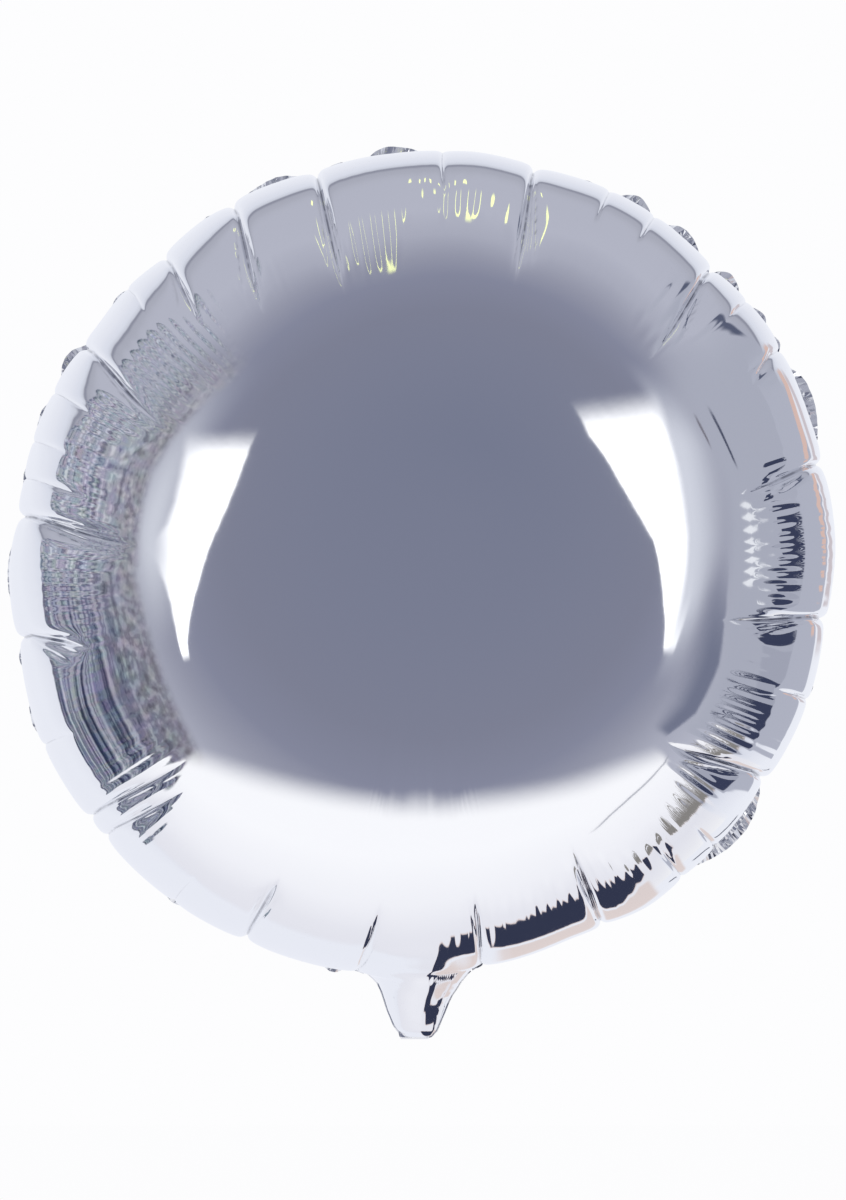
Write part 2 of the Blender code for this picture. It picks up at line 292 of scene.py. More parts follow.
def small_folds(shares, angles, creases, seed, settings):
    """Height of the fine radial folds that fill each lobe next to the rim."""
    rng = np.random.default_rng(seed)
    edges = sorted(crease for crease in creases if crease[3] >= LOBE_EDGE_DEPTH)
    strength = interpolated(angles, FOLD_BANDS, 1)
    start = interpolated(angles, FOLD_BANDS, 2)
    end = interpolated(angles, FOLD_BANDS, 3)
    gathers = interpolated(angles, RIM_GATHERS, 1)
    height = np.zeros(np.broadcast(shares, angles).shape)
    for first, second in zip(edges, edges[1:] + edges[:1]):
        # The folds lean with the creases, but less
        low = first[0] + FOLD_LEAN * gap_between(crease_angle(first, shares), first[0])
        high = second[0] + FOLD_LEAN * gap_between(crease_angle(second, shares), second[0])
        width = gap_between(high, low)
        along = gap_between(angles, low) / width
        count = max(2, round(float(width.max()) / FOLD_PITCH))
        inside = (along >= 0) & (along < 1)
        place = np.clip(along, 0, 0.999999)
        drift = rng.uniform(-0.045, 0.045, 3)
        for k, amount in enumerate(drift):
            place = place + amount / (k + 1) * np.sin(math.pi * (k + 1) * place)
        fold = np.clip(place, 0, 0.999999) * count
        index = fold.astype(int)
        tall = rng.uniform(0.7, 1.2, count)[index]
        early = rng.uniform(-0.02, 0.03, count)[index]
        crest = np.sqrt(np.sin(math.pi * fold) ** 2 + 0.06) - 0.24
        # The shorter the folds, the steeper their inner ends
        rise = rounded_step(shares, start + early, start + early + 0.35 * (end - start))
        fall = 1 - 0.93 * rounded_step(shares, end - 0.07, end)
        at_weld = rounded_step(shares, *GATHERS_RISE) - rounded_step(shares, *GATHERS_FALL)
        full = strength * rise * fall + gathers * at_weld
        height += np.where(inside, crest * tall * full, 0)
    return height * settings.fold_height


def slow_waves(x, z, seed):
    """Soft uneven waves of the stretched film, from -1 to 1."""
    rng = np.random.default_rng(seed)
    total = np.zeros(np.broadcast(x, z).shape)
    for _ in range(9):
        turn, start = rng.uniform(0, math.tau, 2)
        length = rng.uniform(0.035, 0.09)
        total += np.sin((x * math.cos(turn) + z * math.sin(turn)) * math.tau / length + start)
    return total / 9


def neck_radius(angles):
    """Radius of the neck's outline in these directions, 0 away from the neck."""
    outline = [(angle, radius) for radius, angle in NECK_RIGHT + NECK_LEFT[::-1]]
    at, reach = np.array(outline).T
    return np.interp(angles % 360, at, reach, left=0, right=0)


def neck_depth(radius, angle, outline):
    """Depth of the puffed neck at these radii, in one direction: an oval tube that widens
    into the balloon and closes at its end."""
    right = np.interp(radius, *zip(*NECK_RIGHT))
    left = np.interp(radius, *zip(*NECK_LEFT))
    across = (2 * angle - left - right) / (left - right)
    deep = np.interp(radius, *zip(*NECK_DEPTHS))
    end = np.clip((radius - NECK_CLOSING) / max(outline - NECK_CLOSING, 0.001), 0, 1)
    tube = np.sqrt(np.clip(1 - across**2, 0, 1))
    round_side = np.where(across > 0, tube, np.interp(-across, *zip(*NECK_FLANK)))
    return deep * round_side * np.sqrt(1 - end**2), across


def film_surface(tilts, angles, creases, seed, settings):
    """Radius and depth of the gathered film, without its neck, at these tilts and angles."""
    tilts = np.asarray(tilts, float)[:, None]
    angles = np.asarray(angles, float)
    lean = np.radians(tilts)
    shares = np.sqrt(np.sin(lean))
    depth = smooth_depth(tilts, settings.rim_radius)
    radius = settings.rim_radius * shares * oval(shares, angles, settings)
    groove = np.exp(-((depth / settings.groove_half_width) ** 2))

    height = -crease_press(shares, angles, creases, settings) * (1 - 0.4 * groove)
    height += small_folds(shares, angles, creases, seed, settings) * (1 - groove)
    turn = np.radians(angles)
    waves = slow_waves(radius * np.sin(turn), radius * np.cos(turn), seed)
    height += settings.wave_height * waves * rounded_step(shares, 0.35, 0.75)
    height -= settings.groove_depth * groove
    return radius + height * np.sin(lean), depth + height * np.cos(lean)


def run_length(first, second):
    """Length along a line of points, from its start."""
    return np.concatenate(([0], np.cumsum(np.hypot(np.diff(first), np.diff(second)))))


def draw_out_neck(radius, depth, angles, settings):
    """Lead the film out over the neck, with more rings there."""
    outline = neck_radius(angles[-1])
    right, left = NECK_SIDES
    for k in np.flatnonzero((angles[-1] > right) & (angles[-1] < left)):
        angle = angles[-1, k]
        body = np.maximum.accumulate(radius[:, k])
        tip = max(outline[k], body[-1])
        far = tip - (tip - body[0]) * np.linspace(1, 0, 700) ** 2
        horn, across = neck_depth(far, angle, tip)
        # The neck's right side is gathered in small pleats along its seam
        side = rounded_step(-across, 0.45, 0.8) * rounded_step(far, *NECK_PLEATED)
        pleats = np.sin(math.tau * far / NECK_PLEAT_PITCH + angle * 2)
        horn *= 1 + settings.neck_pleat * side * pleats
        flat = np.maximum(np.interp(far, body, depth[:, k], right=0), 0)
        deep = (flat**5 + np.maximum(horn, 0) ** 5) ** 0.2
        old = run_length(radius[:, k], depth[:, k])
        new = run_length(far, deep)
        near = rounded_step(angle, right, right + 6) * rounded_step(-angle, -left, 5 - left)
        share = old / old[-1]
        place = new[-1] * (share + 0.75 * near * share**2 * (1 - share))
        radius[:, k] = np.interp(place, new, far)
        depth[:, k] = np.interp(place, new, deep)
    return radius, depth


# Meshes


def round_points(radius, angles, depth):
    """Points at these radii and angles round the balloon, as an array of coordinates."""
    turn = np.radians(angles)
    return np.stack(np.broadcast_arrays(radius * np.sin(turn), depth, radius * np.cos(turn)), -1)


def mesh_object(name, points, faces, material, painted_shade=None):
    """A smooth-shaded object from its points and faces; its last argument, if given, is a number for each
    point: how much painted crease shade it takes.
    """
    mesh = bpy.data.meshes.new(name)
    mesh.from_pydata(points.tolist(), [], faces)
    mesh.shade_smooth()
    mesh.materials.append(material)
    if painted_shade is not None:
        mesh.attributes.new("painted_shade", "FLOAT", "POINT").data.foreach_set("value", painted_shade)
    obj = bpy.data.objects.new(name, mesh)
    bpy.context.scene.collection.objects.link(obj)
    return obj


def grid_faces(rows, columns, closed):
    """Quads of a grid of points, joined up round its columns if it is closed."""
    faces = []
    for row in range(rows - 1):
        for column in range(columns if closed else columns - 1):
            after = (column + 1) % columns
            low, high = row * columns, (row + 1) * columns
            faces.append((low + column, high + column, high + after, low + after))
    return faces


def ring_tilts():
    """Tilts of the film's rings: few in the smooth middle, many towards the rim."""
    inside = np.degrees(np.arcsin(np.linspace(0.07, 0.48, MIDDLE_RINGS) ** 2))
    return np.concatenate((inside, np.linspace(16, 90, RIM_RINGS)))


def column_angles(shares, creases):
    """Angles of the film's columns at these shares; they crowd at creases and lean with
    them."""
    fine = np.arange(0, 360, 0.02)
    crowd = np.full(len(fine), 0.45)
    for crease in creases:
        crowd = np.maximum(crowd, np.exp(-((gap_between(fine, crease[0]) / 0.8) ** 2)))
    crowd = np.maximum(crowd, 0.8 * ((fine > 170) & (fine < 191)))
    total = np.concatenate(([0], np.cumsum(crowd)))
    base = np.interp(np.arange(SECTORS) * total[-1] / SECTORS, total, np.append(fine, 360))
    mains = sorted(crease for crease in creases if crease[3] >= LOBE_EDGE_DEPTH)
    at = np.array([crease[0] for crease in mains])
    leans = np.hstack([gap_between(crease_angle(crease, shares), crease[0]) for crease in mains])
    at = np.concatenate((at - 360, at, at + 360))
    return np.stack([base + np.interp(base, at, np.tile(row, 3)) for row in leans])


def build_film_panel(name, side, creases, seed, material, settings):
    """One round film panel with its half of the neck; side is -1 in front, 1 behind."""
    tilts = ring_tilts()
    shares = np.sqrt(np.sin(np.radians(tilts)))[:, None]
    angles = column_angles(shares, creases)
    radius, depth = film_surface(tilts, angles, creases, seed, settings)
    radius, depth = draw_out_neck(radius, depth, angles, settings)
    points = round_points(radius, angles, side * depth)
    # Painted shade along the creases' sharp lines, a number for each point
    crease_shade_levels = painted_crease_shade(shares, angles, creases)
    painted_shade = np.concatenate((crease_shade_levels[:MIDDLE_RINGS, ::4].ravel(), crease_shade_levels[MIDDLE_RINGS:].ravel(), [0]))
    sparse = SECTORS // 4
    middle = points[:MIDDLE_RINGS, ::4].reshape(-1, 3)
    points = points[MIDDLE_RINGS:]
    first = len(middle)
    faces = grid_faces(MIDDLE_RINGS, sparse, True)
    for face in grid_faces(len(points), SECTORS, True):
        faces.append(tuple(first + corner for corner in face))
    # Four columns of the rim's part meet each column of the middle
    for k in range(sparse):
        low, low_after = first - sparse + k, first - sparse + (k + 1) % sparse
        high = [first + (4 * k + step) % SECTORS for step in range(5)]
        faces += [(low, high[0], high[1]), (low, high[1], high[2]), (low, high[2], low_after)]
        faces += [(low_after, high[2], high[3]), (low_after, high[3], high[4])]
    centre = np.array([[0, side * smooth_depth(0, settings.rim_radius), 0]])
    points = np.concatenate((middle, points.reshape(-1, 3), centre))
    faces += [(len(points) - 1, k, (k + 1) % sparse) for k in range(sparse)]
    if side > 0:
        faces = [face[::-1] for face in faces]
    return mesh_object(name, points, faces, material, painted_shade)


def rim_line(angles, settings):
    """The film's edge in the rim's plane, as points."""
    creases = with_fine_creases(CREASES, FRONT_CREASE_SEED)
    radius, _ = film_surface([89.0, 90.0], angles, creases, RIM_SEED, settings)
    reach = np.maximum(radius[-1], neck_radius(angles))
    return round_points(reach, angles, np.zeros(len(angles)))


def flange_reach(angles, settings):
    """Radius that the flange's outer edge reaches: tucked in, or peeking out."""
    fine = np.arange(FINE_STEPS) * 360 / FINE_STEPS
    creases = with_fine_creases(CREASES, FRONT_CREASE_SEED)
    film, _ = film_surface(np.linspace(70, 90, 21), fine, creases, RIM_SEED, settings)
    tucked = film.max(0) - FLANGE_TUCK
    reach = tucked.copy()
    for start, middle, end, top in FLANGE_PEEKS:
        at = (fine - start) % 360
        bump = np.interp(at, (0, middle - start, end - start, end - start + 0.01), (0, 1, 0, 0))
        hump = np.sin(bump * math.pi / 2) ** 0.9
        reach = np.maximum(reach, tucked + (top * PHOTO_RADIUS - tucked) * hump)
    return np.interp(angles % 360, fine, smoothed(reach, 1.2))


def zigzag(turns):
    """A wave of straight flanks between -1 and 1, one for each whole turn."""
    return 4 * np.abs(turns - np.floor(turns + 0.5)) - 1


def build_flange(name, angles, widths, ruffle, lean, radial, material, settings, seed):
    """A stretch of the welded flange that follows the film's edge, crumpled into facets."""
    rng = np.random.default_rng(seed)
    edge = rim_line(angles, settings)
    along = np.gradient(edge, axis=0)
    outward = np.stack((-along[:, 2], np.zeros(len(angles)), along[:, 0]), -1)
    outward /= np.linalg.norm(outward, axis=1, keepdims=True)
    turn = np.radians(angles)
    spoke = np.stack((np.sin(turn), np.zeros(len(angles)), np.cos(turn)), -1)
    outward = outward * (1 - radial) + spoke * radial
    starts = rng.uniform(0, 1, 4)
    wander = 0.8 * np.sin(np.radians(angles * CRUMPLE_TURNS) + starts[3] * 6)
    rows = []
    for step in FLANGE_INSIDE + FLANGE_OUTSIDE:
        offset = widths * step if step > 0 else np.full(len(angles), step)
        row = edge + outward * offset[:, None]
        high = max(step, 0)
        crumple = 0
        for (share, pitch, strays, slant), start in zip(CRUMPLES, starts):
            crumple += share * zigzag(angles / pitch + strays * wander + start + slant * high)
        row[:, 1] = crumple * ruffle * high**0.8 + lean * widths * high
        rows.append(row)
    points = np.stack(rows)
    faces = grid_faces(len(rows), len(angles), False)
    obj = mesh_object(name, points.reshape(-1, 3), faces, material)
    obj.data.shade_flat()
    solid = obj.modifiers.new("film thickness", "SOLIDIFY")
    solid.thickness = settings.flange_thickness
    solid.offset = 0
    return obj


# Materials


def linear(hex_colour):
    """An sRGB hex colour as linear red, green, blue and alpha."""
    values = [int(hex_colour[k : k + 2], 16) / 255 for k in (1, 3, 5)]
    turned = [v / 12.92 if v <= 0.04045 else ((v + 0.055) / 1.055) ** 2.4 for v in values]
    return (*turned, 1.0)


def add_node(tree, kind, stops=(), **values):
    """Adds a node, its kind given without the word ShaderNode. A name in small letters is
    one of its own settings. Any other is an input, by name or as i and its number: it takes
    a value, a socket, or a node for that node's first output. Stops are a colour ramp's."""
    node = tree.nodes.new("ShaderNode" + kind)
    for name, value in values.items():
        numbered = name[0] == "i" and name[1:].isdigit()
        if name.islower() and not numbered:
            setattr(node, name, value)
            continue
        socket = node.inputs[int(name[1:]) if numbered else name.replace("_", " ")]
        if isinstance(value, bpy.types.Node):
            value = value.outputs[0]
        if isinstance(value, bpy.types.NodeSocket):
            tree.links.new(value, socket)
        else:
            socket.default_value = value
    while stops and len(node.color_ramp.elements) < len(stops):
        node.color_ramp.elements.new(0.5)
    for k, (place, colour) in enumerate(stops):
        stop = node.color_ramp.elements[k]
        stop.position = place
        # A stop is a colour, or a plain level
        stop.color = linear(colour) if isinstance(colour, str) else (colour, colour, colour, 1.0)
    return node


def new_material(name):
    """An empty node material, with its nodes and its output's surface."""
    material = bpy.data.materials.new(name)
    material.use_nodes = True
    tree = material.node_tree
    tree.nodes.clear()
    return material, tree, tree.nodes.new("ShaderNodeOutputMaterial").inputs["Surface"]


def metallised_film(settings):
    """Nylon film, metallised with aluminium by vapour in a vacuum: a true mirror that is
    a little hazy, as its draw lines are too fine to see, with the slightest orange peel,
    and painted shade darkening the sharp lines of its creases."""
    material, tree, surface = new_material("metallised_film")
    place = add_node(tree, "TexCoord").outputs["Object"]
    # Haze comes and goes over 30 mm
    cloud = add_node(tree, "TexNoise", Vector=place, Scale=33.0, Detail=3.0)
    dull = settings.film_roughness
    haze = add_node(tree, "MapRange", i0=cloud, i1=0.3, i2=0.7, i3=dull * 0.8, i4=dull * 1.25)
    # Orange peel is 7 mm from crest to crest
    peel = add_node(tree, "TexNoise", Vector=place, Scale=140.0, Detail=2.0)
    bump = add_node(tree, "Bump", Strength=0.25, Distance=0.00003, Height=peel)
    # Painted shade where a fold is nipped sharp: the film's colour is darkened in thin lines, broken every
    # 6 mm
    painted_shade_mask = add_node(tree, "Attribute", attribute_name="painted_shade").outputs["Fac"]
    breaks = add_node(tree, "TexNoise", Vector=place, Scale=170.0, Detail=1.0)
    broken = add_node(tree, "MapRange", i0=breaks, i1=0.34, i2=0.52, i3=0.35, i4=1.0)
    dark = add_node(tree, "Math", operation="MULTIPLY", i0=painted_shade_mask, i1=broken)
    bright = (*settings.film_colour, 1.0)
    colour = add_node(tree, "Mix", data_type="RGBA", i0=dark, i6=bright, i7=linear("#4E5266"))
    shader = add_node(
        tree, "BsdfPrincipled", Base_Color=colour.outputs[2], Metallic=1.0, Roughness=haze, Normal=bump
    )
    tree.links.new(shader.outputs[0], surface)
    return material


def welded_film(settings):
    """Two layers of the film, welded between hot knurled jaws: a fine crossed pattern that
    breaks the mirror into dark and bright specks."""
    material, tree, surface = new_material("welded_film")
    place = add_node(tree, "TexCoord").outputs["Object"]
    # At a scale of 1 the bands of a wave texture are tau / 20 apart
    scale = math.tau / 20 / settings.knurl_pitch
    lines = []
    for turn in (0.7, -0.7):
        turned = add_node(tree, "Mapping", Vector=place, Rotation=(0.0, turn, 0.0))
        wave = add_node(
            tree, "TexWave", bands_direction="X", Vector=turned, Scale=scale, Distortion=0.6
        )
        lines.append(wave.outputs["Fac"])
    knurl = add_node(tree, "Math", operation="MULTIPLY", i0=lines[0], i1=lines[1])
    # Crumples are 8 mm from crest to crest
    crumple = add_node(tree, "TexNoise", Vector=place, Scale=120.0, Detail=1.0)
    height = add_node(tree, "Math", operation="ADD", i0=knurl, i1=crumple)
    bump = add_node(tree, "Bump", Strength=0.15, Distance=0.00006, Height=height)
    shader = add_node(
        tree,
        "BsdfPrincipled",
        Base_Color=(*settings.weld_colour, 1.0),
        Metallic=1.0,
        Roughness=settings.weld_roughness,
        Normal=bump,
    )
    tree.links.new(shader.outputs[0], surface)
    return material


def faded_cover(tree, edges):
    """A node that gives 1 inside all these edges and fades to 0 at them. An edge is what it
    is measured along, where it starts, and how far from there the cover is full."""
    cover = None
    for along, start, inward in edges:
        edge = add_node(
            tree, "MapRange", interpolation_type="SMOOTHSTEP", i0=along, i1=start, i2=start + inward,
            i3=0.0, i4=1.0,
        )
        if cover:
            edge = add_node(tree, "Math", operation="MULTIPLY", i0=cover, i1=edge)
        cover = edge
    return cover


def card_material(name, colour, strength, blur, trim=None, pleats=0):
    """Lit card whose edges fade; blur is how far in from its two sides and two ends, trim
    colours the fading edge, and pleats is how many hang across it."""
    material, tree, surface = new_material(name)
    place = add_node(tree, "UVMap", uv_map="card")
    across, up = add_node(tree, "SeparateXYZ", Vector=place).outputs[:2]
    widths = [max(width, 0.001) for width in blur]
    cover = faded_cover(
        tree,
        (
            (across, 0.0, widths[0]),
            (across, 1.0, -widths[1]),
            (up, 0.0, widths[2]),
            (up, 1.0, -widths[3]),
        ),
    )
    paint = linear(colour)
    if trim:
        paint = add_node(tree, "ValToRGB", stops=((0.55, trim), (0.85, colour)), i0=cover)
    if pleats:
        paint = hung_cloth(tree, place, across, up, pleats)
    glow = add_node(tree, "Emission", Color=paint, Strength=strength)
    clear = add_node(tree, "BsdfTransparent")
    mixed = add_node(tree, "MixShader", i0=cover, i1=clear, i2=glow)
    tree.links.new(mixed.outputs[0], surface)
    return material


def hung_cloth(tree, place, across, up, pleats):
    """Colour of a striped cloth in navy and greys: long crisp bars low down, rumpled and
    paler above, with a little faded tan and teal."""
    layers = []
    for count, height, detail, shift in (
        (pleats, 2.4, 3.0, (0.0, 0.0, 0.0)),
        (pleats * 0.7, 64.0, 3.0, (0.0, 0.0, 0.0)),
        (pleats * 0.35, 40.0, 2.0, (3.0, 7.0, 0.0)),
    ):
        laid = add_node(tree, "Mapping", Vector=place, Scale=(count, height, 1.0), Location=shift)
        layers.append(add_node(tree, "TexNoise", Vector=laid, Scale=1.0, Detail=detail))
    bars, rumples, tints = layers
    high = add_node(
        tree, "MapRange", interpolation_type="SMOOTHSTEP", i0=up, i1=0.26, i2=0.40, i3=0.08, i4=0.70
    )
    near = add_node(tree, "MapRange", i0=across, i1=0.45, i2=0.2, i3=0.0, i4=0.75)
    rumpled = add_node(tree, "Math", operation="MAXIMUM", i0=high, i1=near)
    shade = add_node(tree, "Mix", data_type="FLOAT", i0=rumpled, i2=bars, i3=rumples)
    # The rumpled part is paler, most of all in the middle of its width
    paler = add_node(tree, "MapRange", i0=up, i1=0.22, i2=0.5, i3=0.0, i4=0.055)
    levels = ((0.0, 0.55), (0.45, 0.45), (0.66, 0.95), (0.88, 0.9), (0.96, 0.0))
    middle = add_node(tree, "ValToRGB", stops=levels, i0=across)
    lifted = add_node(tree, "Math", operation="MULTIPLY_ADD", i0=paler, i1=middle, i2=shade)
    lifted = add_node(tree, "Math", operation="ADD", i0=lifted, i1=paler)
    dyed = add_node(tree, "ValToRGB", stops=CLOTH_STOPS, i0=lifted)
    tinted = add_node(
        tree, "Mix", data_type="RGBA", blend_type="SOFT_LIGHT", i0=0.45, i6=dyed, i7=tints.outputs["Color"]
    )
    # and its inner edge is warmer, a faded tan
    warm = add_node(tree, "MapRange", i0=across, i1=0.42, i2=0.10, i3=0.0, i4=0.5)
    warmed = add_node(
        tree, "Mix", data_type="RGBA", i0=warm, i6=tinted.outputs[2], i7=linear("#8E878E")
    )
    return warmed.outputs[2]


# Stage

# What the mirror sees apart from the floor and the background. Each card: name, colour,
# strength, the blur of its two sides and two ends, and rows across it. A row says where the
# film shows the card's reflection: angle, and share at the one edge and at the other, or
# angle and share of each edge
CARDS = (
    (
        "softbox_left", "#FFFFFF", 1.6, (0.16, 0.02, 0.12, 0.06),
        (
            (300.2, 0.674, 310, 0.51), (294.6, 0.65, 301.8, 0.495), (290.3, 0.639, 294.4, 0.488),
            (284.7, 0.633, 287, 0.49), (279.7, 0.641, 280, 0.501), (274, 0.678, 274.6, 0.515),
            (270.7, 0.657, 269.7, 0.528), (266, 0.636, 264.4, 0.545), (262, 0.626, 261, 0.561),
            (257, 0.623, 0.583), (252, 0.626, 0.601), (248, 0.627, 247.7, 0.609),
        ),
    ),
    (
        "softbox_right", "#FFFFFF", 1.6, (0.03, 0.16, 0.1, 0.04),
        (
            (41.6, 0.521, 52.8, 0.712), (53, 0.498, 62.7, 0.684), (61.3, 0.501, 68, 0.679),
            (69, 0.505, 73.8, 0.683), (76, 0.518, 79, 0.678), (82.3, 0.537, 83.5, 0.667),
            (87, 0.554, 87.4, 0.661), (91.6, 0.566, 0.659), (96.4, 0.579, 96.3, 0.66),
            (101, 0.591, 100.7, 0.66), (106, 0.609, 104.8, 0.656), (113, 0.631, 112.3, 0.653),
        ),
    ),
    (
        "right_glow", "#D9DCE6", 1.0, (0.2, 0.8, 0.3, 0.3),
        (
            (40.7, 0.674, 53.3, 0.821), (62, 0.642, 71.6, 0.797), (85, 0.628, 86, 0.761),
            (102.3, 0.619, 99.7, 0.725), (121.7, 0.635, 119, 0.71),
        ),
    ),
    (
        "left_glow", "#D3D6E0", 1.0, (0.5, 0.5, 0.6, 0.3),
        (
            (326.6, 0.597, 317.7, 0.734), (302.4, 0.577, 294.5, 0.731), (279, 0.58, 276.3, 0.736),
            (253.3, 0.594, 250, 0.708),
        ),
    ),
    (
        "left_cloth", "#8A8D9C", 1.0, (0.1, 0.01, 0.02, 0.18),
        (
            (226, 0.7, 0.962), (234, 0.685, 0.952), (245, 0.675, 0.95), (258, 0.675, 0.935),
            (268, 0.682, 0.93), (279.8, 0.684, 280, 0.925), (289.5, 0.684, 290, 0.925),
            (298, 0.665, 0.91), (306, 0.65, 0.89), (314, 0.63, 0.87), (321, 0.64, 0.84),
        ),
    ),
    (
        "right_wall", "#AFB2C0", 1.0, (0.2, 0.02, 0.25, 0.04),
        (
            (42.2, 0.72, 38, 0.955), (51.8, 0.715, 48, 0.96), (63.6, 0.716, 60, 0.972),
            (77.8, 0.732, 76, 0.972), (88.4, 0.727, 88, 0.935), (97.8, 0.734, 98, 0.935),
            (109.7, 0.75, 110, 0.935), (120, 0.75, 0.93), (124.2, 0.735, 0.925),
        ),
    ),
    (
        "right_shade", "#757A8F", 1.0, (0.7, 0.12, 0.5, 0.05),
        (
            (88, 0.69, 0.752), (98, 0.67, 0.755), (110, 0.665, 0.775), (120, 0.68, 0.77),
            (127, 0.69, 0.735),
        ),
    ),
    (
        "right_dark_screen", "#3A4059", 1.0, (0.05, 0.05, 0.02, 0.03),
        [(79.0 + 1.05 * k, 0.872, (0.922, 0.940)[k % 2]) for k in range(18)],
    ),
    (
        "right_bright_slats", "#EFF1F6", 1.0, (0.1, 0.1, 0.02, 0.02),
        [
            (80.3 + 2.1 * k + 0.75 * j, (0.806, 0.784, 0.806)[j], (0.806, 0.828, 0.806)[j])
            for k in range(8)
            for j in range(3)
        ],
    ),
    (
        "right_dark_curtain", "#3A4059", 1.0, (0.05, 0.05, 0.02, 0.03),
        [(111 + 1.05 * k, (0.878, 0.790)[k % 2], 0.936 - 0.00137 * k) for k in range(11)],
    ),
    (
        "right_grey_card", "#A6A9B8", 1.0, (0.1, 0.05, 0.05, 0.05),
        ((100, 0.862, 0.936), (106, 0.862, 0.936), (111.2, 0.862, 0.936)),
    ),
    (
        "right_back_wall", "#B5B8C6", 1.0, (0.02, 0.04, 0.2, 0.02),
        ((58, 0.925, 0.985), (75, 0.925, 0.98), (98, 0.925, 0.975), (122, 0.92, 0.972)),
    ),
    (
        "warm_screen", "#DDBFB5", 1.0, (0.1, 0.1, 0.15, 0.1),
        (
            (60.5, 0.9749, 59.9, 0.9841), (66, 0.975, 66.5, 0.9842), (76, 0.9649, 76.7, 0.9757),
            (88, 0.968, 88.2, 0.979), (98, 0.9621, 97.4, 0.9707),
        ),
    ),
    (
        "rear_drape", "#CFC6CB", 1.0, (0.15, 0.3, 0.12, 0.15),
        (
            (61, 0.9841, 0.9909), (70, 0.983, 0.991), (82, 0.984, 0.992), (94, 0.98, 0.991),
            (103, 0.976, 0.99),
        ),
    ),
    (
        "stand_near", "#4A4F64", 1.0, (0.2, 0.2, 0.3, 0.2),
        ((62, 0.793, 0.8), (68, 0.796, 0.803), (75, 0.803, 0.808)),
    ),
    (
        "stand_far", "#77747F", 1.0, (0.3, 0.3, 0.3, 0.3),
        ((62, 0.752, 0.758), (66, 0.752, 0.76), (71, 0.757, 0.762)),
    ),
    (
        "high_shade", "#5A6076", 1.0, (0.45, 0.25, 0.15, 0.4),
        ((46.2, 0.885, 0.945), (49, 0.905, 0.952), (53, 0.935, 0.958), (56, 0.952, 0.962)),
    ),
    (
        "ceiling_strip_left", "#F2F9B4", 1.5, (0.2, 0.2, 0.12, 0.12),
        (
            (351.9, 0.705, 352.9, 0.705), (351.9, 0.75, 352.9, 0.75), (351.9, 0.8, 352.9, 0.8),
            (351.9, 0.865, 352.9, 0.865),
        ),
    ),
    (
        "ceiling_strip_right", "#F2F9B4", 1.5, (0.2, 0.2, 0.2, 0.2),
        (
            (5.8, 0.83, 7.6, 0.83), (5.8, 0.86, 7.6, 0.86), (5.8, 0.89, 7.6, 0.89),
            (5.8, 0.92, 7.6, 0.92),
        ),
    ),
    (
        "ceiling_lamp", "#F2F9B4", 1.5, (0.2, 0.2, 0.1, 0.1),
        ((357.6, 0.925, 0.936), (1, 0.925, 0.936)),
    ),
)
CLOTH_PLEATS = 30
CARD_SPACING = 0.03  # by which each card stands nearer than the one before it
# Flat cards on the floor: name, colour, colour of its edging, blur, and rows across it: x,
# and y of its near edge and of its far edge, or x and y of each edge
FLOOR_CARDS = (
    (
        "floor_warm_card", "#E4D7D4", None, (0.05, 0.3, 0.1, 0.2),
        (
            (0.6, 0.47, 0.61, 1.5), (0.51, 0.43, 1.5), (0.4, 0.51, 1.5), (0.31, 0.66, 1.5),
            (0.2, 0.56, 1.5), (0.09, 0.48, 1.5),
        ),
    ),
    (
        "floor_dark_card", "#34394F", "#DDBBAE", (0.1, 0.12, 0.03, 0.03),
        (
            (0.09, 0.12, 0.46), (0.2, 0.15, 0.54), (0.31, 0.19, 0.63), (0.4, 0.15, 0.47),
            (0.51, 0.12, 0.4), (0.6, 0.16, 0.38),
        ),
    ),
    (
        "floor_grey_card", "#8B8885", "#CDB6AC", (0.05, 0.12, 0.03, 0.03),
        (
            (1.03, 0.17, 0.32), (0.99, -0.36, 0.31), (0.95, 0.15, 0.3), (0.92, -0.29, 0.29),
            (0.88, 0.14, 0.89, 0.27), (0.85, -0.22, 0.26), (0.82, 0.13, 0.25), (0.79, -0.16, 0.25),
            (0.76, 0.12, 0.24), (0.74, -0.1, 0.23), (0.71, 0.11, 0.23), (0.68, -0.04, 0.22),
            (0.66, 0.1, 0.21),
        ),
    ),
    (
        "floor_dark_edge", "#4A4F64", None, (0.25, 0.25, 0.1, 0.1),
        ((1.01, 1.95, 2.2), (0.79, 1.4, 1.55), (0.64, 1.1, 1.2)),
    ),
    (
        "floor_seam", "#A9ABB6", None, (0.3, 0.3, 0.05, 0.25),
        ((0.94, -0.45, -0.43), (0.76, -0.41, -0.39), (0.57, -0.37, -0.355), (0.42, -0.31, -0.295)),
    ),
)
FLOOR_CARD_SPACING = 0.004  # by which each lies higher than the one before it
# Dyes of the striped cloth, by how light its weave comes out
CLOTH_STOPS = (
    (0.34, "#2B3148"), (0.42, "#454B63"), (0.455, "#8E92A2"), (0.48, "#5C6278"), (0.53, "#7F8496"),
    (0.57, "#B4B8C4"), (0.61, "#9498A8"), (0.68, "#CDD0DA"),
)
# What the room gives back by the angle from ROOM_AXIS
ROOM_STOPS = (
    (0, "#757A8E"), (18, "#7A7E91"), (32, "#7D8092"), (45, "#84879A"), (54, "#9496A6"), (65, "#A8AAB8"),
    (80, "#B3B5C2"), (180, "#AEB0BC"),
)
# and the white backdrop behind the balloon by the angle from BACKDROP_AXIS: it starts
# further back at the top and on the right
BACKDROP_STOPS = (
    (98, "#AFB1BD"), (108, "#A6A8B4"), (110, "#8A8C9A"), (111.2, "#8E909E"), (112.2, "#C8CBD5"),
    (116, "#D8DBE5"), (126, "#E2E4EC"), (140, "#E8EAF1"), (180, "#E6E8F0"),
)
ROOM_AXIS = (0.088, -0.978, 0.188)
BACKDROP_AXIS = (0.130, -0.927, 0.352)
